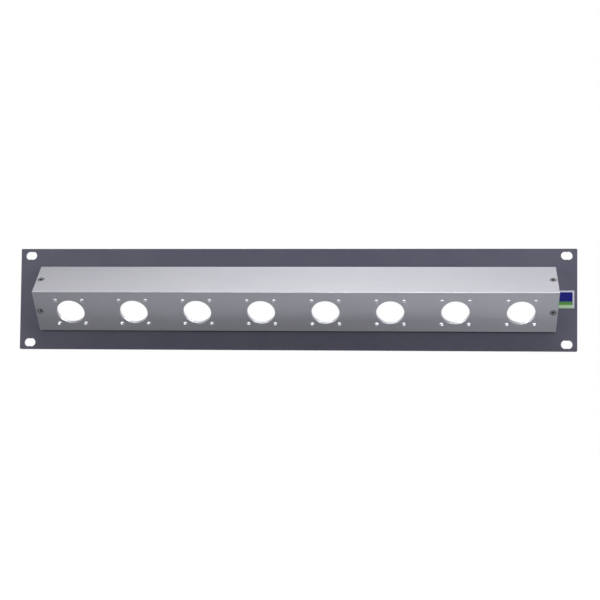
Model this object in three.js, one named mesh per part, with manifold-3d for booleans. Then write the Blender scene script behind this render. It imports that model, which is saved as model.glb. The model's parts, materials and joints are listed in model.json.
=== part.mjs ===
// Audio patch bay, unloaded: a 2U rack panel whose long folded nose carries a row of round
// connector cutouts, tilted down towards the hands.
// Millimetres, +Z up, +X to the right as seen from the front, the front faces -Y.
// The origin is the centre of the panel's rear face, the plane that rests on the rack rails.
import * as THREE from "three";
import { mergeVertices } from "three/addons/utils/BufferGeometryUtils.js";
import Module from "manifold-3d";

const wasm = await Module();
wasm.setup();

// Rack panel, to the 19 inch standard
const PANEL_WIDTH = 482.6;
const PANEL_HEIGHT = 88.1;
const PANEL_THICKNESS = 3;
const PANEL_CORNER = 1;
const SLOT_PITCH_X = 465.1;
const SLOT_PITCH_Z = 76.2;
const SLOT_RADIUS = 3.6;
const SLOT_OFFSET = 1.4; // each slot is two overlapping round holes, this far either side of its centre
const WINDOW_LENGTH = 426;
const WINDOW_HEIGHT = 46;
const WINDOW_CORNER = 3;

// Nose, a sheet folded at a right angle with its open side on the panel
const NOSE_LENGTH = 446;
const NOSE_SHEET = 3;
const UPPER_LEG = 38;
const LOWER_LEG = 41;
const NOSE_CENTRE_Z = 0.2; // height of the middle of the nose's open side
const TIP_STANDOFF = 1.6; // the outer corners of both legs stop this far in front of the panel
const FOLD_OUTER_RADIUS = 0.8;
const FOLD_INNER_RADIUS = 1.5;

// Connector positions on the lower leg
const CUTOUT_COUNT = 8;
const CUTOUT_PITCH = 55;
const CUTOUT_RADIUS = 11.9;
const CUTOUT_FROM_FOLD = 20.95;
const FIXING_PITCH_X = 23.1;
const FIXING_PITCH_ALONG_LEG = 24.1;
const FIXING_RADIUS = 1.75;

// End cheeks inside the nose
const CHEEK_THICKNESS = 7.6;
const CHEEK_RECESS = 0.4; // how far each cheek stops short of the nose's end
const CHEEK_GAP = 0.3;

// Countersunk M3 screws with a 2 mm hexagon socket
const SCREW_LENGTH = 8;
const SCREW_HEAD_RADIUS = 2.9;
const SCREW_SHANK_RADIUS = 1.5;
const SCREW_HEAD_RIM = 0.25;
const SCREW_END_CHAMFER = 0.4;
const SOCKET_ACROSS_FLATS = 2;
const SOCKET_DEPTH = 1.2;
const SCREW_GAP = 0.3;
const SCREW_SINK = 0.05; // the heads sit this far below the surface
const SCREW_FROM_NOSE_END = 4;
const CHEEK_SCREW_Z = 14;

// Label on the panel, to the right of the nose
const LABEL_WIDTH = 15.2;
const LABEL_HEIGHT = 15.2;
const LABEL_THICKNESS = 0.3;
const LABEL_CENTRE_X = 231.1;
const LABEL_CENTRE_Z = 0.4;
const LABEL_CORNER = 0.5;

// Fineness of the round shapes
const CUTOUT_SEGMENTS = 36;
const HOLE_SEGMENTS = 16;
const SCREW_SEGMENTS = 24;
const ARC_STEPS = 4; // straight steps in a rounded corner
const SLOT_STEPS = 12; // straight steps in each half of a slot
const CUT_MARGIN = 2; // a cutter reaches this far past the surface

const X_AXIS = new THREE.Vector3(1, 0, 0);
const Y_AXIS = new THREE.Vector3(0, 1, 0);
const Z_AXIS = new THREE.Vector3(0, 0, 1);

const FRONT_Y = -PANEL_THICKNESS;
const TIP_Y = FRONT_Y - TIP_STANDOFF;
const NOSE_OPENING = Math.hypot(UPPER_LEG, LOWER_LEG);
const FOLD_DEPTH = (UPPER_LEG * LOWER_LEG) / NOSE_OPENING;
const UPPER_TIP = new THREE.Vector2(TIP_Y, NOSE_CENTRE_Z + NOSE_OPENING / 2);
const LOWER_TIP = new THREE.Vector2(TIP_Y, NOSE_CENTRE_Z - NOSE_OPENING / 2);
const FOLD = new THREE.Vector2(TIP_Y - FOLD_DEPTH, UPPER_TIP.y - UPPER_LEG ** 2 / NOSE_OPENING);
const ALONG_UPPER = UPPER_TIP.clone().sub(FOLD).normalize();
const ALONG_LOWER = LOWER_TIP.clone().sub(FOLD).normalize();

const materials = {
  panel: new THREE.MeshStandardMaterial({ color: 0x55565e, metalness: 0.55, roughness: 0.5 }),
  nose: new THREE.MeshStandardMaterial({ color: 0xb4b5ba, metalness: 0.9, roughness: 0.42 }),
  cheek: new THREE.MeshStandardMaterial({ color: 0x9a9ba0, metalness: 0.9, roughness: 0.5 }),
  screw: new THREE.MeshStandardMaterial({ color: 0x77787c, metalness: 1, roughness: 0.35 }),
  label: new THREE.MeshStandardMaterial({ color: 0xe8e8ec, metalness: 0, roughness: 0.45 }),
};

// A closed three.js geometry as a solid that can be cut and joined.
function solidFrom(geometry) {
  const bare = geometry.clone();
  bare.deleteAttribute("normal");
  bare.deleteAttribute("uv");
  const merged = mergeVertices(bare, 1e-4);
  const mesh = new wasm.Mesh({
    numProp: 3,
    vertProperties: new Float32Array(merged.attributes.position.array),
    triVerts: new Uint32Array(merged.index.array),
  });
  return new wasm.Manifold(mesh);
}

// A solid as a three.js geometry with flat shading.
function geometryFrom(solid) {
  const mesh = solid.getMesh();
  const geometry = new THREE.BufferGeometry();
  geometry.setAttribute("position", new THREE.BufferAttribute(mesh.vertProperties, 3));
  geometry.setIndex(new THREE.BufferAttribute(mesh.triVerts, 1));
  const flat = geometry.toNonIndexed();
  flat.computeVertexNormals();
  return flat;
}

// An outline drawn in the Y-Z plane, extruded along X and centred on centreX.
function extrudeAlongX(shape, length, centreX) {
  const geometry = new THREE.ExtrudeGeometry(shape, { depth: length, bevelEnabled: false });
  geometry.applyMatrix4(new THREE.Matrix4().makeBasis(Y_AXIS, Z_AXIS, X_AXIS));
  return geometry.translate(centreX - length / 2, 0, 0);
}

// An outline drawn in the X-Z plane, extruded forwards from rearY.
function extrudeForwards(shape, depth, rearY, curveSegments) {
  const options = { depth, bevelEnabled: false, curveSegments };
  const geometry = new THREE.ExtrudeGeometry(shape, options);
  const forwards = Y_AXIS.clone().negate();
  geometry.applyMatrix4(new THREE.Matrix4().makeBasis(X_AXIS, Z_AXIS, forwards));
  return geometry.translate(0, rearY, 0);
}

function roundedRectangle(target, width, height, radius, centreX, centreZ) {
  const right = centreX + width / 2 - radius;
  const left = centreX - width / 2 + radius;
  const top = centreZ + height / 2 - radius;
  const bottom = centreZ - height / 2 + radius;
  target.absarc(right, top, radius, 0, Math.PI / 2);
  target.absarc(left, top, radius, Math.PI / 2, Math.PI);
  target.absarc(left, bottom, radius, Math.PI, 1.5 * Math.PI);
  target.absarc(right, bottom, radius, 1.5 * Math.PI, 2 * Math.PI);
  return target;
}

// Two overlapping round holes side by side, which leaves a slight waist between them.
function slotPath(centreX, centreZ) {
  const half = Math.PI - Math.acos(SLOT_OFFSET / SLOT_RADIUS);
  const path = new THREE.Path();
  path.absarc(centreX + SLOT_OFFSET, centreZ, SLOT_RADIUS, -half, half);
  path.absarc(centreX - SLOT_OFFSET, centreZ, SLOT_RADIUS, Math.PI - half, Math.PI + half);
  return path;
}

// A matrix that puts a piece's local +Y along direction, with its origin at position.
function placedAlong(position, direction) {
  const turn = new THREE.Quaternion().setFromUnitVectors(Y_AXIS, direction);
  return new THREE.Matrix4().compose(position, turn, new THREE.Vector3(1, 1, 1));
}

// A point on the outside of a leg: x along the nose, distance along the leg from the fold.
function pointOnLeg(alongLeg, x, fromFold) {
  const point = FOLD.clone().addScaledVector(alongLeg, fromFold);
  return new THREE.Vector3(x, point.x, point.y);
}

// The outward direction of a leg: square to it, away from the other leg.
function outwardOf(alongLeg) {
  const other = alongLeg === ALONG_UPPER ? ALONG_LOWER : ALONG_UPPER;
  return new THREE.Vector3(0, -other.x, -other.y);
}

// The corner between the two directions away from it, rounded with an arc.
function roundedCorner(corner, towardsA, towardsB, radius) {
  const half = towardsA.angleTo(towardsB) / 2;
  const middle = towardsA.clone().add(towardsB).normalize();
  const centre = corner.clone().addScaledVector(middle, radius / Math.sin(half));
  const start = corner.clone().addScaledVector(towardsA, radius / Math.tan(half)).sub(centre);
  const end = corner.clone().addScaledVector(towardsB, radius / Math.tan(half)).sub(centre);
  let sweep = end.angle() - start.angle();
  if (sweep > Math.PI) sweep -= 2 * Math.PI;
  if (sweep < -Math.PI) sweep += 2 * Math.PI;
  const points = [];
  for (let i = 0; i <= ARC_STEPS; i += 1) {
    const turned = start.clone().rotateAround(new THREE.Vector2(), (sweep * i) / ARC_STEPS);
    points.push(turned.add(centre));
  }
  return points;
}

// The point where a line from start along direction meets the plane y = level.
function meetLevel(start, direction, level) {
  const distance = (level - start.x) / direction.x;
  return start.clone().addScaledVector(direction, distance);
}

// The corner of the space inside the fold, a given depth below the outside of both legs.
function innerCorner(depth) {
  return FOLD.clone().addScaledVector(ALONG_UPPER, depth).addScaledVector(ALONG_LOWER, depth);
}

// The folded sheet in section. The tips of both legs are dressed flat where they seat.
function noseSection() {
  const inner = innerCorner(NOSE_SHEET);
  const outline = [
    UPPER_TIP.clone(),
    ...roundedCorner(FOLD, ALONG_UPPER, ALONG_LOWER, FOLD_OUTER_RADIUS),
    LOWER_TIP.clone(),
    meetLevel(LOWER_TIP, ALONG_UPPER, FRONT_Y),
    meetLevel(inner, ALONG_LOWER, FRONT_Y),
    ...roundedCorner(inner, ALONG_LOWER, ALONG_UPPER, FOLD_INNER_RADIUS),
    meetLevel(inner, ALONG_UPPER, FRONT_Y),
    meetLevel(UPPER_TIP, ALONG_LOWER, FRONT_Y),
  ];
  return new THREE.Shape(outline);
}

// The end cheek in section: it fills the fold and seats on the front of the panel.
function cheekSection() {
  const inner = innerCorner(NOSE_SHEET + CHEEK_GAP);
  const outline = [
    meetLevel(inner, ALONG_UPPER, FRONT_Y),
    ...roundedCorner(inner, ALONG_UPPER, ALONG_LOWER, FOLD_INNER_RADIUS),
    meetLevel(inner, ALONG_LOWER, FRONT_Y),
  ];
  return new THREE.Shape(outline);
}

// A countersunk screw along its local Y, with the top of its head at the origin.
function screwSolid() {
  const coneEnd = SCREW_HEAD_RIM + SCREW_HEAD_RADIUS - SCREW_SHANK_RADIUS;
  const profile = [
    new THREE.Vector2(0, -SCREW_LENGTH),
    new THREE.Vector2(SCREW_SHANK_RADIUS - SCREW_END_CHAMFER, -SCREW_LENGTH),
    new THREE.Vector2(SCREW_SHANK_RADIUS, -SCREW_LENGTH + SCREW_END_CHAMFER),
    new THREE.Vector2(SCREW_SHANK_RADIUS, -coneEnd),
    new THREE.Vector2(SCREW_HEAD_RADIUS, -SCREW_HEAD_RIM),
    new THREE.Vector2(SCREW_HEAD_RADIUS, 0),
    new THREE.Vector2(0, 0),
  ];
  const body = solidFrom(new THREE.LatheGeometry(profile, SCREW_SEGMENTS));
  const socketRadius = SOCKET_ACROSS_FLATS / Math.sqrt(3);
  const socketHeight = SOCKET_DEPTH + CUT_MARGIN;
  const socket = new THREE.CylinderGeometry(socketRadius, socketRadius, socketHeight, 6);
  socket.translate(0, socketHeight / 2 - SOCKET_DEPTH, 0);
  return body.subtract(solidFrom(socket));
}

// What a screw needs cut away: the countersink, and a clear hole along the whole shank.
function screwCutter() {
  const shank = SCREW_SHANK_RADIUS + SCREW_GAP;
  const head = SCREW_HEAD_RADIUS + SCREW_GAP;
  const rimBottom = -SCREW_HEAD_RIM - SCREW_SINK;
  const profile = [
    new THREE.Vector2(0, -SCREW_LENGTH - CUT_MARGIN),
    new THREE.Vector2(shank, -SCREW_LENGTH - CUT_MARGIN),
    new THREE.Vector2(shank, rimBottom - (head - shank)),
    new THREE.Vector2(head, rimBottom),
    new THREE.Vector2(head, CUT_MARGIN),
    new THREE.Vector2(0, CUT_MARGIN),
  ];
  return new THREE.LatheGeometry(profile, SCREW_SEGMENTS);
}

function drill(solid, position, outward, radius, depth, segments) {
  const height = depth + 2 * CUT_MARGIN;
  const bit = new THREE.CylinderGeometry(radius, radius, height, segments);
  bit.translate(0, -depth / 2, 0);
  bit.applyMatrix4(placedAlong(position, outward));
  return solid.subtract(solidFrom(bit));
}

function cutForScrews(solid, screws) {
  let cut = solid;
  for (const screw of screws) {
    const cutter = screwCutter().applyMatrix4(placedAlong(screw.position, screw.outward));
    cut = cut.subtract(solidFrom(cutter));
  }
  return cut;
}

// Where every screw goes: its name, the point on the surface and the way its head faces.
function screwPlaces() {
  const places = [];
  for (const [side, sign] of [["left", -1], ["right", 1]]) {
    const x = sign * (NOSE_LENGTH / 2 - SCREW_FROM_NOSE_END);
    places.push({
      name: `nose_screw_upper_${side}`,
      position: pointOnLeg(ALONG_UPPER, x, UPPER_LEG / 2),
      outward: outwardOf(ALONG_UPPER),
    });
    places.push({
      name: `nose_screw_lower_${side}`,
      position: pointOnLeg(ALONG_LOWER, x, LOWER_LEG / 2),
      outward: outwardOf(ALONG_LOWER),
    });
    places.push({
      name: `cheek_screw_upper_${side}`,
      position: new THREE.Vector3(x, 0, CHEEK_SCREW_Z),
      outward: Y_AXIS.clone(),
    });
    places.push({
      name: `cheek_screw_lower_${side}`,
      position: new THREE.Vector3(x, 0, -CHEEK_SCREW_Z),
      outward: Y_AXIS.clone(),
    });
  }
  return places;
}

function rackPanel(screws) {
  const outline = roundedRectangle(new THREE.Shape(), PANEL_WIDTH, PANEL_HEIGHT, PANEL_CORNER, 0, 0);
  for (const x of [-SLOT_PITCH_X / 2, SLOT_PITCH_X / 2]) {
    for (const z of [-SLOT_PITCH_Z / 2, SLOT_PITCH_Z / 2]) {
      outline.holes.push(slotPath(x, z));
    }
  }
  const opening = new THREE.Path();
  roundedRectangle(opening, WINDOW_LENGTH, WINDOW_HEIGHT, WINDOW_CORNER, 0, NOSE_CENTRE_Z);
  outline.holes.push(opening);
  const plate = solidFrom(extrudeForwards(outline, PANEL_THICKNESS, 0, SLOT_STEPS));
  const rearScrews = screws.filter((screw) => screw.name.startsWith("cheek_screw"));
  return cutForScrews(plate, rearScrews);
}

function connectorNose(screws) {
  let nose = solidFrom(extrudeAlongX(noseSection(), NOSE_LENGTH, 0));
  const outward = outwardOf(ALONG_LOWER);
  for (let i = 0; i < CUTOUT_COUNT; i += 1) {
    const x = (i - (CUTOUT_COUNT - 1) / 2) * CUTOUT_PITCH;
    const centre = pointOnLeg(ALONG_LOWER, x, CUTOUT_FROM_FOLD);
    nose = drill(nose, centre, outward, CUTOUT_RADIUS, NOSE_SHEET, CUTOUT_SEGMENTS);
    for (const acrossSign of [-1, 1]) {
      for (const alongSign of [-1, 1]) {
        const fixingX = x + (acrossSign * FIXING_PITCH_X) / 2;
        const fromFold = CUTOUT_FROM_FOLD + (alongSign * FIXING_PITCH_ALONG_LEG) / 2;
        const fixing = pointOnLeg(ALONG_LOWER, fixingX, fromFold);
        nose = drill(nose, fixing, outward, FIXING_RADIUS, NOSE_SHEET, HOLE_SEGMENTS);
      }
    }
  }
  const noseScrews = screws.filter((screw) => screw.name.startsWith("nose_screw"));
  return cutForScrews(nose, noseScrews);
}

function endCheek(sign, screws) {
  const centreX = sign * (NOSE_LENGTH / 2 - CHEEK_RECESS - CHEEK_THICKNESS / 2);
  const block = solidFrom(extrudeAlongX(cheekSection(), CHEEK_THICKNESS, centreX));
  const ownScrews = screws.filter((screw) => Math.sign(screw.position.x) === sign);
  return cutForScrews(block, ownScrews);
}

function plainLabel() {
  const outline = new THREE.Shape();
  roundedRectangle(outline, LABEL_WIDTH, LABEL_HEIGHT, LABEL_CORNER, LABEL_CENTRE_X, LABEL_CENTRE_Z);
  return solidFrom(extrudeForwards(outline, LABEL_THICKNESS, FRONT_Y, ARC_STEPS));
}

const patchBay = new THREE.Group();

function addPiece(name, geometry, material) {
  const mesh = new THREE.Mesh(geometry, material);
  mesh.name = name;
  patchBay.add(mesh);
  return mesh;
}

const screws = screwPlaces();
addPiece("rack_panel", geometryFrom(rackPanel(screws)), materials.panel);
addPiece("connector_nose", geometryFrom(connectorNose(screws)), materials.nose);
addPiece("end_cheek_left", geometryFrom(endCheek(-1, screws)), materials.cheek);
addPiece("end_cheek_right", geometryFrom(endCheek(1, screws)), materials.cheek);
addPiece("plain_label", geometryFrom(plainLabel()), materials.label);

const screwGeometry = geometryFrom(screwSolid());
for (const screw of screws) {
  const mesh = addPiece(screw.name, screwGeometry, materials.screw);
  const sunk = screw.position.clone().addScaledVector(screw.outward, -SCREW_SINK);
  placedAlong(sunk, screw.outward).decompose(mesh.position, mesh.quaternion, mesh.scale);
}

export default patchBay;
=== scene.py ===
import json
import math
import random
from collections import namedtuple

import bmesh
import bpy
from mathutils import Matrix, Vector


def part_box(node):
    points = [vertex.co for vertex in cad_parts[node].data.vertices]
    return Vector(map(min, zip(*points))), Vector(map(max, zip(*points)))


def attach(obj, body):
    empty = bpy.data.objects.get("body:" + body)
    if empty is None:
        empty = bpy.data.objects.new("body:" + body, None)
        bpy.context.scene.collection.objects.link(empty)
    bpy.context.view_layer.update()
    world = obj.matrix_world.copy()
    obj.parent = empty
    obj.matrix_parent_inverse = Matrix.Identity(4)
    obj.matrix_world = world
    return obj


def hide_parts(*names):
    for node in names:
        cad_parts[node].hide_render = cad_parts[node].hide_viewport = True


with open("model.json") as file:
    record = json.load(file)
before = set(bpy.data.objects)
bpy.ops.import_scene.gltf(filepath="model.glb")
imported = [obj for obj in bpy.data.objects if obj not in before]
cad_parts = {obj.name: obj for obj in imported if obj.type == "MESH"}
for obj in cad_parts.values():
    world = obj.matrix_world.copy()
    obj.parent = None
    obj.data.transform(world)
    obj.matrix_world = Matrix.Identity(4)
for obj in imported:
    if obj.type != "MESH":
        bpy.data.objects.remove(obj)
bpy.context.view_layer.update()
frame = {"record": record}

# The audio patch bay's looks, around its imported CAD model. Metres, +X right, +Z up, front to -Y.

MM = 0.001

# Rack panel
SLOT_PITCH_X = 465.1 * MM
SLOT_PITCH_Z = 76.2 * MM
SLOT_RADIUS = 3.6 * MM
SLOT_OFFSET = 1.4 * MM  # each slot is two overlapping round holes, this far from its centre
PANEL_CORNER = 1 * MM
PANEL_EDGE = 0.12 * MM
WINDOW_LENGTH = 426 * MM
WINDOW_HEIGHT = 46 * MM
WINDOW_CORNER = 3 * MM

# Nose, folded from sheet at a right angle
UPPER_LEG = 38 * MM
SHEET = 3 * MM
TIP_STANDOFF = 1.6 * MM  # the outer corners of the legs stop this far in front of the panel
FOLD_OUTER_RADIUS = 0.7 * MM
FOLD_INNER_RADIUS = 1.5 * MM
# Both are larger than NOSE_EDGE. Smaller ones turn inside out where the ends are rounded, and the
# end faces then span the hollow.
TIP_RADIUS = 0.3 * MM
SEAT_RADIUS = 0.3 * MM
SEAT_GAP = 0.02 * MM
NOSE_EDGE = 0.2 * MM

# Connector positions on the lower leg
CUTOUT_RADIUS = 11.9 * MM
CUTOUT_FROM_FOLD = 20.95 * MM
FIXING_PITCH_X = 23.1 * MM
FIXING_PITCH_ALONG_LEG = 24.1 * MM
FIXING_RADIUS = 1.75 * MM
CUTOUT_EDGE = 0.08 * MM
FIXING_EDGE = 0.08 * MM

# End cheeks
CHEEK_GAP = 0.1 * MM
CHEEK_EDGE = 0.3 * MM
CHEEK_CORNER = 0.5 * MM

# Countersunk M3 screws with a 2 mm hexagon socket
SCREW_LENGTH = 8 * MM
HEAD_RADIUS = 2.9 * MM
HEAD_RIM = 0.25 * MM
HEAD_EDGE = 0.08 * MM
SHANK_RADIUS = 1.5 * MM
SCREW_TIP_RADIUS = 0.75 * MM
THREAD_PITCH = 0.5 * MM
THREAD_DEPTH = 0.3 * MM
SOCKET_HALF_WIDTH = 1.0 * MM
SOCKET_MOUTH = 1.22 * MM
SOCKET_DEPTH = 1.2 * MM
SOCKET_FLOOR_RADIUS = 0.85 * MM
SOCKET_POINT_RADIUS = 0.1 * MM
SOCKET_POINT_DEPTH = 0.3 * MM
SCREW_SINK = 0.05 * MM
COUNTERSINK_GAP = 0.14 * MM
SHANK_GAP = 0.2 * MM
TAPPED_GAP = 0.05 * MM
TAPPED_EXTRA_DEPTH = 0.15 * MM
SCREW_FROM_NOSE_END = 4 * MM
CHEEK_SCREW_Z = 14 * MM

# Label
LABEL_CORNER = 0.5 * MM
LABEL_EDGE = 0.08 * MM
LABEL_BORDER = 1.4 * MM
LABEL_FIELDS = (0, 0.21, 0.42)  # where each printed field starts, as a share of the print's height

CUT_MARGIN = 2 * MM  # a cutter reaches this far past the surface
CUT_OVERSHOOT = 0.02 * MM  # a cutter's flare starts this far in front of the surface

# How finely round things are drawn: points round a circle, steps along a rim, an arc or a turn
RIM_STEPS = 3
ARC_STEPS = 10
SLOT_STEPS = 28
CUTOUT_POINTS = 96
COUNTERSINK_POINTS = 64
SMALL_HOLE_POINTS = 40
SCREW_POINTS = 48
THREAD_STEPS_PER_TURN = 8

SHARP_ANGLE = math.radians(40)  # an edge bent more than this is drawn sharp

# Which of a piece's finishes a face gets. Only a screw has the third, a painted shade inside its socket, and
# a label numbers its own.
FACE, EDGE, PAINTED_SOCKET_SHADE = 0, 1, 2

panel_low, panel_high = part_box("rack_panel")
nose_low, nose_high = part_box("connector_nose")
FRONT_Y = panel_low.y

NOSE_OPENING = nose_high.z - nose_low.z
LOWER_LEG = math.sqrt(NOSE_OPENING ** 2 - UPPER_LEG ** 2)
TIP_Y = FRONT_Y - TIP_STANDOFF
FOLD = Vector((
    0,
    TIP_Y - UPPER_LEG * LOWER_LEG / NOSE_OPENING,
    nose_high.z - UPPER_LEG ** 2 / NOSE_OPENING,
))
UPPER_TIP = Vector((0, TIP_Y, nose_high.z))
LOWER_TIP = Vector((0, TIP_Y, nose_low.z))
ALONG_UPPER = (UPPER_TIP - FOLD).normalized()
ALONG_LOWER = (LOWER_TIP - FOLD).normalized()

# A level of a solid: its outline, its height, and the finish of the band that leads up to it.
Level = namedtuple("Level", "outline height finish")


# ---------------------------------------------------------------- outlines

def circle(radius, count):
    turns = [2 * math.pi * i / count for i in range(count)]
    return [Vector((radius * math.cos(a), radius * math.sin(a))) for a in turns]


def two_hole_slot(radius, offset, steps):
    """Two overlapping circles side by side, which leaves a slight waist between them."""
    half = math.pi - math.acos(offset / radius)
    outline = []
    for side, middle in ((1, 0), (-1, math.pi)):
        for i in range(steps):
            turn = middle - half + 2 * half * i / (steps - 1)
            outline.append(Vector((side * offset + radius * math.cos(turn), radius * math.sin(turn))))
    return outline


def rounded_rectangle(width, height, radius, steps):
    outline = []
    corners = ((1, 1, 0), (-1, 1, 1), (-1, -1, 2), (1, -1, 3))
    for side_x, side_y, quarter in corners:
        centre = Vector((side_x * (width / 2 - radius), side_y * (height / 2 - radius)))
        for i in range(steps + 1):
            turn = math.pi / 2 * (quarter + i / steps)
            outline.append(centre + Vector((math.cos(turn), math.sin(turn))) * radius)
    return outline


def rounded_outline(corners):
    """A closed outline through corners, each a point and a radius, with every corner made an arc."""
    outline = []
    for i, (corner, radius) in enumerate(corners):
        before = (corners[i - 1][0] - corner).normalized()
        after = (corners[(i + 1) % len(corners)][0] - corner).normalized()
        half = before.angle(after) / 2
        centre = corner + (before + after).normalized() * (radius / math.sin(half))
        start = corner + before * (radius / math.tan(half)) - centre
        end = corner + after * (radius / math.tan(half)) - centre
        sweep = math.atan2(start.cross(end), start.dot(end))
        for k in range(ARC_STEPS + 1):
            outline.append(centre + Matrix.Rotation(sweep * k / ARC_STEPS, 2) @ start)
    area = sum(a.cross(b) for a, b in zip(outline, outline[1:] + outline[:1]))
    return outline if area > 0 else outline[::-1]


def grown(outline, distance):
    """The outline with every side moved outwards by distance."""
    moved = []
    for i, point in enumerate(outline):
        before = (point - outline[i - 1]).normalized()
        after = (outline[(i + 1) % len(outline)] - point).normalized()
        out_before = Vector((before.y, -before.x))
        out_after = Vector((after.y, -after.x))
        moved.append(point + (out_before + out_after) * (distance / (1 + out_before.dot(out_after))))
    return moved


# ---------------------------------------------------------------- solids

def quarter_round(radius):
    """The steps of a rounded edge, from the face: how deep, and how far in from the side."""
    turns = [math.pi / 2 * i / RIM_STEPS for i in range(RIM_STEPS + 1)]
    return [(radius * (1 - math.cos(a)), radius * (1 - math.sin(a))) for a in turns]


def plate_levels(outline_of, bottom, top, edge):
    """A plate between two heights, with the rims of both its faces rounded."""
    rim = quarter_round(edge)
    rising = [Level(outline_of(-inset), bottom + depth, EDGE) for depth, inset in rim]
    closing = [Level(outline_of(-inset), top - depth, EDGE) for depth, inset in rim[::-1]]
    closing[0] = closing[0]._replace(finish=FACE)
    return rising + closing


def hole_levels(outline_of, bottom, top, edge):
    """A cutter through a plate between two heights. It flares at both faces, which rounds the rims."""
    rim = quarter_round(edge)
    (near_depth, near_inset), (next_depth, next_inset) = rim[:2]
    slope = (near_inset - next_inset) / (next_depth - near_depth)
    mouth = outline_of(near_inset + slope * CUT_OVERSHOOT)
    rising = [
        Level(mouth, bottom - CUT_MARGIN, FACE),
        Level(mouth, bottom - CUT_OVERSHOOT, EDGE),
    ]
    rising += [Level(outline_of(inset), bottom + depth, EDGE) for depth, inset in rim[1:]]
    closing = [Level(outline_of(inset), top - depth, EDGE) for depth, inset in rim[:0:-1]]
    closing[0] = closing[0]._replace(finish=FACE)
    closing += [
        Level(mouth, top + CUT_OVERSHOOT, EDGE),
        Level(mouth, top + CUT_MARGIN, FACE),
    ]
    return rising + closing


def loft(mesh, levels, place):
    """Adds a closed solid to mesh: outlines of equal length at successive heights, capped flat."""
    rings = []
    for level in levels:
        points = [place @ Vector((point.x, point.y, level.height)) for point in level.outline]
        rings.append([mesh.verts.new(point) for point in points])
    for level, low, high in zip(levels[1:], rings, rings[1:]):
        for i in range(len(low)):
            j = (i + 1) % len(low)
            face = mesh.faces.new((low[i], low[j], high[j], high[i]))
            face.material_index = level.finish
    mesh.faces.new(rings[0][::-1])
    mesh.faces.new(rings[-1])


def facing(point, outward):
    """A matrix that puts local Z along outward and local X along the part's X, at point."""
    across = Vector((1, 0, 0))
    turn = Matrix((across, outward.cross(across), outward)).transposed()
    return Matrix.Translation(point) @ turn.to_4x4()


# Local Z along the part's X, for sections drawn in the Y-Z plane
SECTION = Matrix(((0, 0, 1, 0), (1, 0, 0, 0), (0, 1, 0, 0), (0, 0, 0, 1)))


def data_from(mesh, name):
    data = bpy.data.meshes.new(name)
    mesh.to_mesh(data)
    mesh.free()
    return data


def cut(body, cutters, name):
    """The body without the cutters' volume."""
    target = bpy.data.objects.new("cut_body", data_from(body, name))
    tool = bpy.data.objects.new("cut_tool", data_from(cutters, "cut_tool"))
    for made in (target, tool):
        bpy.context.scene.collection.objects.link(made)
        for _ in (FACE, EDGE):
            made.data.materials.append(None)
    modifier = target.modifiers.new("cut", "BOOLEAN")
    modifier.operation = "DIFFERENCE"
    modifier.solver = "MANIFOLD"
    modifier.object = tool
    evaluated = target.evaluated_get(bpy.context.evaluated_depsgraph_get())
    result = bpy.data.meshes.new_from_object(evaluated)
    result.name = name
    result.materials.clear()
    for made in (target, tool):
        data = made.data
        bpy.data.objects.remove(made)
        bpy.data.meshes.remove(data)
    return result


def add_piece(name, data, materials, nodes):
    """Puts a finished mesh in the scene as the piece that stands for those CAD nodes."""
    for material in materials:
        data.materials.append(material)
    data.shade_smooth()
    data.set_sharp_from_angle(angle=SHARP_ANGLE)
    piece = bpy.data.objects.new(name, data)
    bpy.context.scene.collection.objects.link(piece)
    normals = piece.modifiers.new("flat faces stay flat", "WEIGHTED_NORMAL")
    normals.mode = "FACE_AREA"
    normals.weight = 100
    normals.keep_sharp = True
    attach(piece, "root")
    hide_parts(*nodes)
    return piece


# ---------------------------------------------------------------- where the screws go

def screw_places():
    """Every screw's CAD node, with the matrix that puts its head's top at the surface."""
    places = {}
    outwards = {"upper": -ALONG_LOWER, "lower": -ALONG_UPPER}
    middles = {"upper": FOLD + ALONG_UPPER * UPPER_LEG / 2, "lower": FOLD + ALONG_LOWER * LOWER_LEG / 2}
    ends = {"left": nose_low.x + SCREW_FROM_NOSE_END, "right": nose_high.x - SCREW_FROM_NOSE_END}
    for side, end in ends.items():
        for level, height in (("upper", CHEEK_SCREW_Z), ("lower", -CHEEK_SCREW_Z)):
            on_nose = middles[level] + Vector((end, 0, 0))
            places[f"nose_screw_{level}_{side}"] = facing(on_nose, outwards[level])
            behind = Vector((end, panel_high.y, height))
            places[f"cheek_screw_{level}_{side}"] = facing(behind, Vector((0, 1, 0)))
    return places


def countersink_levels(sheet):
    """A cutter for a countersunk hole through a sheet whose outside is at height 0."""
    head = HEAD_RADIUS + COUNTERSINK_GAP
    shank = SHANK_RADIUS + SHANK_GAP
    rim = HEAD_RIM + SCREW_SINK
    radii = [
        (shank, -sheet - CUT_MARGIN, FACE),
        (shank, -rim - (head - shank), FACE),
        (head, -rim, FACE),
        (head, -NOSE_EDGE / 2, FACE),
        (head + NOSE_EDGE, NOSE_EDGE / 2, EDGE),
        (head + NOSE_EDGE, CUT_MARGIN, FACE),
    ]
    return [Level(circle(radius, COUNTERSINK_POINTS), height, finish) for radius, height, finish in radii]


def tapped_levels(start):
    """A cutter for the tapped hole that the screw's end goes into, from start downwards."""
    radius = SHANK_RADIUS + TAPPED_GAP
    bottom = -SCREW_LENGTH - TAPPED_EXTRA_DEPTH
    radii = [
        (radius / 3, bottom - radius / 2, FACE),
        (radius, bottom, FACE),
        (radius, start - THREAD_DEPTH, FACE),
        (radius + 2 * THREAD_DEPTH, start + THREAD_DEPTH, EDGE),
        (radius + 2 * THREAD_DEPTH, start + CUT_MARGIN, FACE),
    ]
    return [Level(circle(r, SMALL_HOLE_POINTS), height, finish) for r, height, finish in radii]


# ---------------------------------------------------------------- the pieces

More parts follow.
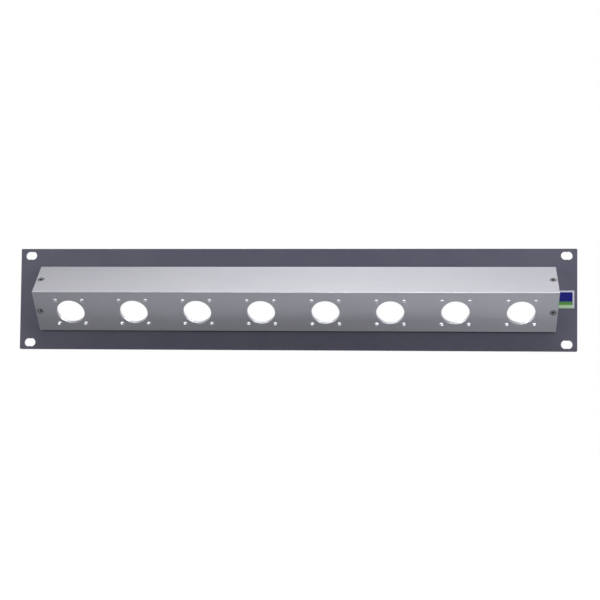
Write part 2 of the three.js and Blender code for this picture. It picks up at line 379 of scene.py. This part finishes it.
def build_panel(screws):
    width = panel_high.x - panel_low.x
    height = panel_high.z - panel_low.z
    thickness = panel_high.y - panel_low.y
    front = facing(Vector((0, FRONT_Y, 0)), Vector((0, -1, 0)))

    def outline(grow):
        return rounded_rectangle(width + 2 * grow, height + 2 * grow, PANEL_CORNER + grow, ARC_STEPS)

    def slot(grow):
        return two_hole_slot(SLOT_RADIUS + grow, SLOT_OFFSET, SLOT_STEPS)

    def window(grow):
        return rounded_rectangle(
            WINDOW_LENGTH + 2 * grow, WINDOW_HEIGHT + 2 * grow, WINDOW_CORNER + grow, ARC_STEPS
        )

    body = bmesh.new()
    loft(body, plate_levels(outline, -thickness, 0, PANEL_EDGE), front)
    cutters = bmesh.new()
    for x in (-SLOT_PITCH_X / 2, SLOT_PITCH_X / 2):
        for z in (-SLOT_PITCH_Z / 2, SLOT_PITCH_Z / 2):
            place = front @ Matrix.Translation((x, z, 0))
            loft(cutters, hole_levels(slot, -thickness, 0, PANEL_EDGE), place)
    middle = Matrix.Translation((0, (nose_low.z + nose_high.z) / 2, 0))
    loft(cutters, hole_levels(window, -thickness, 0, PANEL_EDGE), front @ middle)
    for name, place in screws.items():
        if name.startswith("cheek_screw"):
            loft(cutters, countersink_levels(thickness), place)
    return cut(body, cutters, "panel_plate")


def flat(vector):
    """A vector's part in the Y-Z plane, in which sections are drawn."""
    return vector.yz


def meet_seat(start, direction):
    """Where the line from start along direction meets the plane just in front of the panel."""
    return start + direction * ((FRONT_Y - SEAT_GAP - start.y) / direction.y)


def inside_fold(depth):
    """The corner of the space inside the fold, that deep below both outer faces."""
    return FOLD + (ALONG_UPPER + ALONG_LOWER) * depth


def nose_section():
    inner = inside_fold(SHEET)
    corners = [
        (UPPER_TIP, TIP_RADIUS),
        (FOLD, FOLD_OUTER_RADIUS),
        (LOWER_TIP, TIP_RADIUS),
        (meet_seat(LOWER_TIP, ALONG_UPPER), SEAT_RADIUS),
        (meet_seat(inner, ALONG_LOWER), SEAT_RADIUS),
        (inner, FOLD_INNER_RADIUS),
        (meet_seat(inner, ALONG_UPPER), SEAT_RADIUS),
        (meet_seat(UPPER_TIP, ALONG_LOWER), SEAT_RADIUS),
    ]
    return rounded_outline([(flat(point), radius) for point, radius in corners])


def connector_places():
    """The centre of each connector position on the lower leg."""
    mounts = frame["record"]["mounts"]
    xs = [m["pos_m"][0] for m in mounts if m["name"].startswith("connector_position")]
    on_leg = FOLD + ALONG_LOWER * CUTOUT_FROM_FOLD
    return [facing(on_leg + Vector((x, 0, 0)), -ALONG_UPPER) for x in xs]


def build_nose(screws):
    section = nose_section()

    def cutout(grow):
        return circle(CUTOUT_RADIUS + grow, CUTOUT_POINTS)

    def fixing(grow):
        return circle(FIXING_RADIUS + grow, SMALL_HOLE_POINTS)

    body = bmesh.new()
    loft(body, plate_levels(lambda grow: grown(section, grow), nose_low.x, nose_high.x, NOSE_EDGE), SECTION)
    cutters = bmesh.new()
    for place in connector_places():
        loft(cutters, hole_levels(cutout, -SHEET, 0, CUTOUT_EDGE), place)
        for x in (-FIXING_PITCH_X / 2, FIXING_PITCH_X / 2):
            for y in (-FIXING_PITCH_ALONG_LEG / 2, FIXING_PITCH_ALONG_LEG / 2):
                at_corner = place @ Matrix.Translation((x, y, 0))
                loft(cutters, hole_levels(fixing, -SHEET, 0, FIXING_EDGE), at_corner)
    for name, place in screws.items():
        if name.startswith("nose_screw"):
            loft(cutters, countersink_levels(SHEET), place)
    return cut(body, cutters, "nose_shell")


def build_cheek(side, screws):
    low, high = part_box(f"end_cheek_{side}")
    inner = inside_fold(SHEET + CHEEK_GAP)
    corners = [
        (meet_seat(inner, ALONG_UPPER), CHEEK_CORNER),
        (inner, FOLD_INNER_RADIUS),
        (meet_seat(inner, ALONG_LOWER), CHEEK_CORNER),
    ]
    section = rounded_outline([(flat(point), radius) for point, radius in corners])
    body = bmesh.new()
    loft(body, plate_levels(lambda grow: grown(section, grow), low.x, high.x, CHEEK_EDGE), SECTION)
    cutters = bmesh.new()
    for name, place in screws.items():
        if name.endswith(side):
            start = -SHEET - CHEEK_GAP if name.startswith("nose_screw") else FRONT_Y - panel_high.y
            loft(cutters, tapped_levels(start), place)
    return cut(body, cutters, f"cheek_block_{side}")


def screw_levels():
    """The screw from its end up over the head and down into the socket."""
    turns = [2 * math.pi * i / SCREW_POINTS for i in range(SCREW_POINTS)]

    def ring(radius_at, height, finish):
        return Level([Vector((math.cos(a), math.sin(a))) * radius_at(a) for a in turns], height, finish)

    def even(radius, height, finish=FACE):
        return ring(lambda a: radius, height, finish)

    def hexagon(half_width, height, finish=FACE):
        sixth = math.pi / 3
        return ring(lambda a: half_width / math.cos(a % sixth - sixth / 2), height, finish)

    def threaded(height):
        """A ring on the helix: sloping flanks, with short flats at the crest and the root."""
        def radius_at(a):
            share = (height / THREAD_PITCH - a / (2 * math.pi)) % 1
            flank = min(1, max(0, 1.5 * abs(2 * share - 1) - 0.25))
            return SHANK_RADIUS - THREAD_DEPTH * (1 - flank)
        return ring(radius_at, height, FACE)

    cone_bottom = -HEAD_RIM - (HEAD_RADIUS - SHANK_RADIUS)
    levels = [
        even(SCREW_TIP_RADIUS, -SCREW_LENGTH),
        even(SHANK_RADIUS - THREAD_DEPTH, -SCREW_LENGTH + THREAD_DEPTH),
    ]
    thread_low = -SCREW_LENGTH + 2 * THREAD_DEPTH
    thread_high = cone_bottom - THREAD_PITCH
    thread_length = thread_high - thread_low
    steps = round(thread_length / THREAD_PITCH * THREAD_STEPS_PER_TURN)
    levels += [threaded(thread_low + thread_length * i / steps) for i in range(steps + 1)]
    levels += [
        even(SHANK_RADIUS - THREAD_DEPTH / 2, cone_bottom - THREAD_PITCH / 2),
        even(SHANK_RADIUS, cone_bottom),
        even(HEAD_RADIUS, -HEAD_RIM),
    ]
    levels += [even(HEAD_RADIUS - inset, -depth, EDGE) for depth, inset in quarter_round(HEAD_EDGE)[::-1]]
    levels += [
        even(2 * SOCKET_MOUTH, 0),
        even(SOCKET_MOUTH, 0),
        hexagon(SOCKET_HALF_WIDTH, -(SOCKET_MOUTH - SOCKET_HALF_WIDTH), EDGE),
        # The socket's walls, floor and point get the third finish: near-black steel, painted shade down
        # inside the socket.
        hexagon(SOCKET_HALF_WIDTH, -SOCKET_DEPTH, PAINTED_SOCKET_SHADE),
        even(SOCKET_FLOOR_RADIUS, -SOCKET_DEPTH, PAINTED_SOCKET_SHADE),
        even(SOCKET_POINT_RADIUS, -SOCKET_DEPTH - SOCKET_POINT_DEPTH, PAINTED_SOCKET_SHADE),
    ]
    return levels


def build_screw():
    body = bmesh.new()
    loft(body, screw_levels(), Matrix())
    return data_from(body, "screw")


def build_label():
    """A printed film with a bare border along its top and right."""
    low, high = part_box("plain_label")
    width, height = high.x - low.x, high.z - low.z
    centre = Vector(((low.x + high.x) / 2, high.y, (low.z + high.z) / 2))

    def outline(grow):
        return rounded_rectangle(width + 2 * grow, height + 2 * grow, LABEL_CORNER + grow, ARC_STEPS)

    body = bmesh.new()
    place = facing(centre, Vector((0, -1, 0)))
    loft(body, plate_levels(outline, 0, high.y - low.y, LABEL_EDGE), place)
    right, top = high.x - LABEL_BORDER, high.z - LABEL_BORDER
    starts = [low.z + (top - low.z) * share for share in LABEL_FIELDS]
    planes = [((right, 0, 0), (1, 0, 0)), ((0, 0, top), (0, 0, 1))]
    planes += [((0, 0, start), (0, 0, 1)) for start in starts[1:]]
    for point, normal in planes:
        parts = body.verts[:] + body.edges[:] + body.faces[:]
        bmesh.ops.bisect_plane(body, geom=parts, plane_co=point, plane_no=normal)
    for face in body.faces:
        middle = face.calc_center_median()
        printed = middle.x < right and middle.z < top and face.normal.y < -0.9
        face.material_index = sum(middle.z > start for start in starts) if printed else 0
    return data_from(body, "label_film")


# ---------------------------------------------------------------- materials

def add_node(tree, kind, inputs, **settings):
    """A node with its settings, and each input either linked or set."""
    made = tree.nodes.new(kind)
    for key, value in settings.items():
        setattr(made, key, value)
    for key, value in inputs.items():
        if isinstance(value, bpy.types.NodeSocket):
            tree.links.new(value, made.inputs[key])
        else:
            made.inputs[key].default_value = value
    return made


def noise(tree, size, stretch=(1, 1, 1), detail=2):
    """Noise whose grains are about size across, in the part's own coordinates."""
    place = add_node(tree, "ShaderNodeTexCoord", {}).outputs["Object"]
    scaled = add_node(tree, "ShaderNodeMapping", {"Vector": place, "Scale": stretch})
    inputs = {"Vector": scaled.outputs["Vector"], "Scale": 1 / size, "Detail": detail}
    return add_node(tree, "ShaderNodeTexNoise", inputs).outputs["Fac"]


def remap(tree, value, low, high):
    """Noise, which stays mostly between 0.3 and 0.7, spread over low to high."""
    inputs = {"Value": value, "From Min": 0.3, "From Max": 0.7, "To Min": low, "To Max": high}
    return add_node(tree, "ShaderNodeMapRange", inputs).outputs["Result"]


def blend(tree, share, first, second):
    """One colour mixed with another. The numbers are the node's sockets for its colour mode."""
    inputs = {0: share, 6: first, 7: second}
    return add_node(tree, "ShaderNodeMix", inputs, data_type="RGBA").outputs[2]


def grey(value, blue=1.0):
    """A grey whose blue is that many times its red and green."""
    return (value, value, value * blue, 1)


def start_material(name, **constants):
    material = bpy.data.materials.new(name)
    material.use_nodes = True
    shader = material.node_tree.nodes["Principled BSDF"]
    for key, value in constants.items():
        shader.inputs[key.replace("_", " ")].default_value = value
    return material, material.node_tree, shader


def finish_surface(tree, shader, colour, roughness, height, depth):
    tree.links.new(colour, shader.inputs["Base Color"])
    tree.links.new(roughness, shader.inputs["Roughness"])
    bump = add_node(tree, "ShaderNodeBump", {"Height": height, "Distance": depth, "Strength": 1.0})
    tree.links.new(bump.outputs["Normal"], shader.inputs["Normal"])


def anodised_aluminium(name, tone, rough):
    """Satin anodised sheet: a fine blasted grain, faint rolling lines and a slow drift in tone."""
    material, tree, shader = start_material(name, Metallic=1.0)
    lines = noise(tree, 0.5 * MM, stretch=(0.01, 1, 1))
    drift = noise(tree, 40 * MM, detail=3)
    grain = noise(tree, 0.25 * MM, detail=3)
    lined = blend(tree, remap(tree, lines, 0, 1), grey(tone * 0.97, 1.08), grey(tone * 1.03, 1.08))
    drifted = blend(tree, remap(tree, drift, 0, 0.25), lined, grey(tone * 1.1, 1.04))
    finish_surface(tree, shader, drifted, remap(tree, grain, rough - 0.04, rough + 0.04), grain, 0.006 * MM)
    return material


def panel_coat(name, tone, rough):
    """Dark satin coating with a fine texture, thinner and a little lighter where it is rubbed."""
    material, tree, shader = start_material(name, Metallic=0.0)
    grain = noise(tree, 0.35 * MM, detail=3)
    patches = noise(tree, 25 * MM, detail=4)
    speckled = blend(tree, remap(tree, grain, 0, 1), grey(tone * 0.92, 1.46), grey(tone * 1.08, 1.43))
    patched = blend(tree, remap(tree, patches, 0, 0.3), speckled, grey(tone * 1.15, 1.36))
    finish_surface(tree, shader, patched, remap(tree, patches, rough - 0.05, rough + 0.05), grain, 0.012 * MM)
    return material


def milled_aluminium(name, tone, rough):
    """Bare milled block, with the cutter's close marks across it."""
    material, tree, shader = start_material(name, Metallic=1.0)
    marks = noise(tree, 0.3 * MM, stretch=(1, 0.05, 1))
    drift = noise(tree, 8 * MM)
    colour = blend(tree, remap(tree, marks, 0, 1), grey(tone * 0.9, 1.04), grey(tone * 1.1, 1.04))
    drifted = blend(tree, remap(tree, drift, 0, 0.4), colour, grey(tone * 0.8, 1.03))
    finish_surface(tree, shader, drifted, remap(tree, marks, rough - 0.06, rough + 0.06), marks, 0.008 * MM)
    return material


def screw_steel(name, tone, rough):
    """Plain steel with fine scratches from handling."""
    material, tree, shader = start_material(name, Metallic=1.0)
    scratches = noise(tree, 0.15 * MM, stretch=(1, 0.1, 1), detail=4)
    tarnish = noise(tree, 1.2 * MM)
    colour = blend(tree, remap(tree, tarnish, 0, 1), grey(tone * 0.75, 1.05), grey(tone * 1.15, 1.03))
    roughness = remap(tree, scratches, rough - 0.08, rough + 0.08)
    finish_surface(tree, shader, colour, roughness, scratches, 0.004 * MM)
    return material


def printed_film(name, colour, strength):
    """Satin label film. Ink lies on it slightly unevenly, by the given strength."""
    material, tree, shader = start_material(name, Metallic=0.0, Specular_IOR_Level=0.25)
    mottle = noise(tree, 0.5 * MM, detail=3)
    fleck = noise(tree, 0.12 * MM)
    paler = tuple(c + (1 - c) * strength for c in colour) + (1,)
    inked = blend(tree, remap(tree, mottle, 0, 1), tuple(colour) + (1,), paler)
    finish_surface(tree, shader, inked, remap(tree, fleck, 0.3, 0.42), fleck, 0.003 * MM)
    return material


# ---------------------------------------------------------------- studio

def build_floor():
    """A plain pale floor, well below the object, which hangs in a rack and doesn't stand on it.
    The low lamps stand beneath it, so only the camera sees it."""
    size, height = 40, -0.3
    mesh = bmesh.new()
    bmesh.ops.create_grid(mesh, x_segments=8, y_segments=8, size=size)
    floor = bpy.data.objects.new("floor", data_from(mesh, "floor"))
    floor.location.z = height
    material, tree, shader = start_material("floor_paper", Emission_Strength=0.8)
    shader.inputs["Emission Color"].default_value = grey(1)
    shade = noise(tree, 0.2)
    colour = blend(tree, remap(tree, shade, 0, 1), grey(0.88), grey(0.9))
    finish_surface(tree, shader, colour, remap(tree, shade, 0.85, 0.9), shade, 0.1 * MM)
    floor.data.materials.append(material)
    floor.visible_glossy = floor.visible_diffuse = floor.visible_shadow = False
    bpy.context.scene.collection.objects.link(floor)


def add_math(tree, operation, first, second):
    return add_node(tree, "ShaderNodeMath", {0: first, 1: second}, operation=operation).outputs[0]


def build_world():
    """Light from all round, faint in front and strong from behind, as before a white backdrop."""
    faint, behind = 0.05, 0.9
    world = bpy.data.worlds.new("studio")
    world.use_nodes = True
    tree = world.node_tree
    place = add_node(tree, "ShaderNodeTexCoord", {}).outputs["Generated"]
    split = add_node(tree, "ShaderNodeSeparateXYZ", {"Vector": place})
    rearward = add_math(tree, "MAXIMUM", split.outputs["Y"], 0.0)
    light = add_math(tree, "ADD", add_math(tree, "MULTIPLY", rearward, behind), faint)
    background = tree.nodes["Background"]
    background.inputs["Color"].default_value = grey(1)
    seen = add_node(tree, "ShaderNodeLightPath", {}).outputs["Is Camera Ray"]
    strength = add_math(tree, "MAXIMUM", light, seen)
    tree.links.new(strength, background.inputs["Strength"])
    bpy.context.scene.world = world


def build_softbox(name, place, size, watts, colour=(1, 1, 1)):
    """A soft box that faces the object's middle."""
    lamp = bpy.data.lights.new(name, "AREA")
    lamp.shape = "RECTANGLE"
    lamp.size, lamp.size_y = size
    lamp.energy = watts
    lamp.color = colour
    light = bpy.data.objects.new(name, lamp)
    light.location = place
    light.rotation_euler = Vector(place).to_track_quat("Z", "Y").to_euler()
    bpy.context.scene.collection.objects.link(light)


def build_lights():
    """Soft boxes above, behind and at both sides, and slightly cool ones below that fill. Their powers
    began as a fit to the photograph's tones and were then changed."""
    cool = (0.93, 0.95, 1)
    build_softbox("above", (0, -0.42, 0.91), (0.4, 0.25), 5.7)
    build_softbox("above_left", (-0.45, -0.42, 0.91), (0.4, 0.25), 1.2)
    build_softbox("above_right", (0.45, -0.42, 0.91), (0.4, 0.25), 2.3)
    build_softbox("behind", (0, 0.64, 0.77), (0.8, 0.12), 11)
    build_softbox("behind_below", (0, 0.45, -0.78), (0.8, 0.3), 5.2, cool)
    build_softbox("left", (-0.9, -0.48, 0.15), (0.5, 0.5), 5.8)
    build_softbox("right", (0.9, -0.48, 0.25), (0.5, 0.5), 8.2)
    build_softbox("fill_left", (-0.3, -0.45, -0.78), (0.4, 0.3), 0.42, cool)
    build_softbox("fill_right", (0.3, -0.45, -0.78), (0.4, 0.3), 0.76, cool)


def build_camera():
    """Where the photographer stood: just right of the middle and slightly below the panel. Lens, shift,
    place and angles are a least-squares fit of the object's edges to the photograph's."""
    camera = bpy.data.cameras.new("camera")
    camera.sensor_width = 36
    camera.lens = 75.77
    camera.shift_x, camera.shift_y = -0.0179, 0.1502
    stand = bpy.data.objects.new("camera", camera)
    stand.location = (0.08951, -1.08633, -0.12806)
    stand.rotation_euler = [math.radians(turn) for turn in (92.6187, -0.5951, 3.9280)]
    bpy.context.scene.collection.objects.link(stand)
    bpy.context.scene.camera = stand


# ---------------------------------------------------------------- putting it together

def make_object():
    screws = screw_places()
    # Each piece's second finish goes on its rounded edges and is lighter than its first: partly wear along
    # the edges, partly a painted highlight on the bevels.
    nose_finish = [
        anodised_aluminium("nose_satin", 0.6, 0.48),
        anodised_aluminium("nose_edge_wear_and_highlight", 0.68, 0.4),
    ]
    panel_finish = [
        panel_coat("panel_coat", 0.076, 0.5),
        panel_coat("panel_edge_wear_and_highlight", 0.1, 0.45),
    ]
    cheek_finish = [
        milled_aluminium("cheek_milled", 0.45, 0.36),
        milled_aluminium("cheek_edge_wear_and_highlight", 0.5, 0.32),
    ]
    screw_finish = [
        screw_steel("screw_steel", 0.34, 0.36),
        screw_steel("screw_edge", 0.55, 0.28),
        # Painted shade: near-black steel on the inside of the hex socket, standing in for the shade in the
        # recess.
        screw_steel("screw_socket", 0.08, 0.5),
    ]
    label_finish = [
        printed_film("film_white", (0.46, 0.45, 0.55), 0.1),
        printed_film("film_pale_green", (0.3, 0.46, 0.26), 0.06),
        printed_film("film_green", (0.06, 0.2, 0.04), 0.03),
        printed_film("film_blue", (0.004, 0.006, 0.14), 0.01),
    ]
    add_piece("panel_plate", build_panel(screws), panel_finish, ["rack_panel"])
    add_piece("nose_shell", build_nose(screws), nose_finish, ["connector_nose"])
    for side in ("left", "right"):
        data = build_cheek(side, screws)
        add_piece(f"cheek_block_{side}", data, cheek_finish, [f"end_cheek_{side}"])
    add_piece("label_film", build_label(), label_finish, ["plain_label"])
    random.seed(8)
    for name, place in screws.items():
        data = build_screw()
        turned = Matrix.Rotation(random.uniform(0, math.pi / 3), 4, "Z")
        data.transform(place @ Matrix.Translation((0, 0, -SCREW_SINK)) @ turned)
        piece_name = name.replace("screw", "bolt")
        add_piece(piece_name, data, screw_finish, [name])


build_camera()
build_floor()
build_world()
build_lights()
make_object()
bpy.context.scene.view_settings.view_transform = "Standard"
